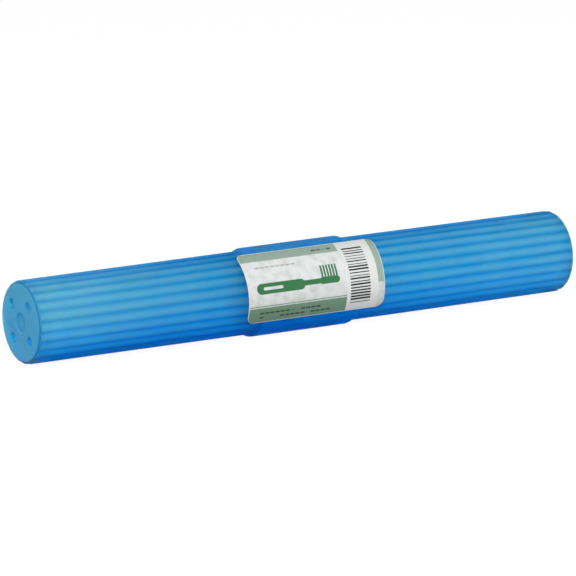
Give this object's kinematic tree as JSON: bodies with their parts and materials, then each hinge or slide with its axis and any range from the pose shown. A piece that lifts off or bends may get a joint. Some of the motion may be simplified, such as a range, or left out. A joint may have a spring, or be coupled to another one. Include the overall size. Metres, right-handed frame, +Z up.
{
  "type": "travel toothbrush holder",
  "caption": "Reeded translucent plastic tube with vented closed ends, a smooth middle collar and a push-fit cap that slides off to take a toothbrush",
  "frame": {"origin": "on the ground under the middle of the lying tube, where the collar rests", "axes": "+X along the tube from the body's closed end to the cap's closed end, +Z up, the label faces -Y"},
  "size_m": [0.2, 0.0292, 0.0289],
  "materials": {
    "body_plastic": "satin translucent blue",
    "cap_plastic": "satin translucent blue",
    "label_paper": "printed uncoated paper"
  },
  "bodies": {
    "body": {"case_body": "body_plastic", "paper_label": "label_paper"},
    "cap": {"case_cap": "cap_plastic"}
  },
  "joints": [
    {"name": "cap_pull", "type": "slide", "parent": "body", "child": "cap", "axis": [1, 0, 0], "range_m": [0, 0.05]}
  ]
}
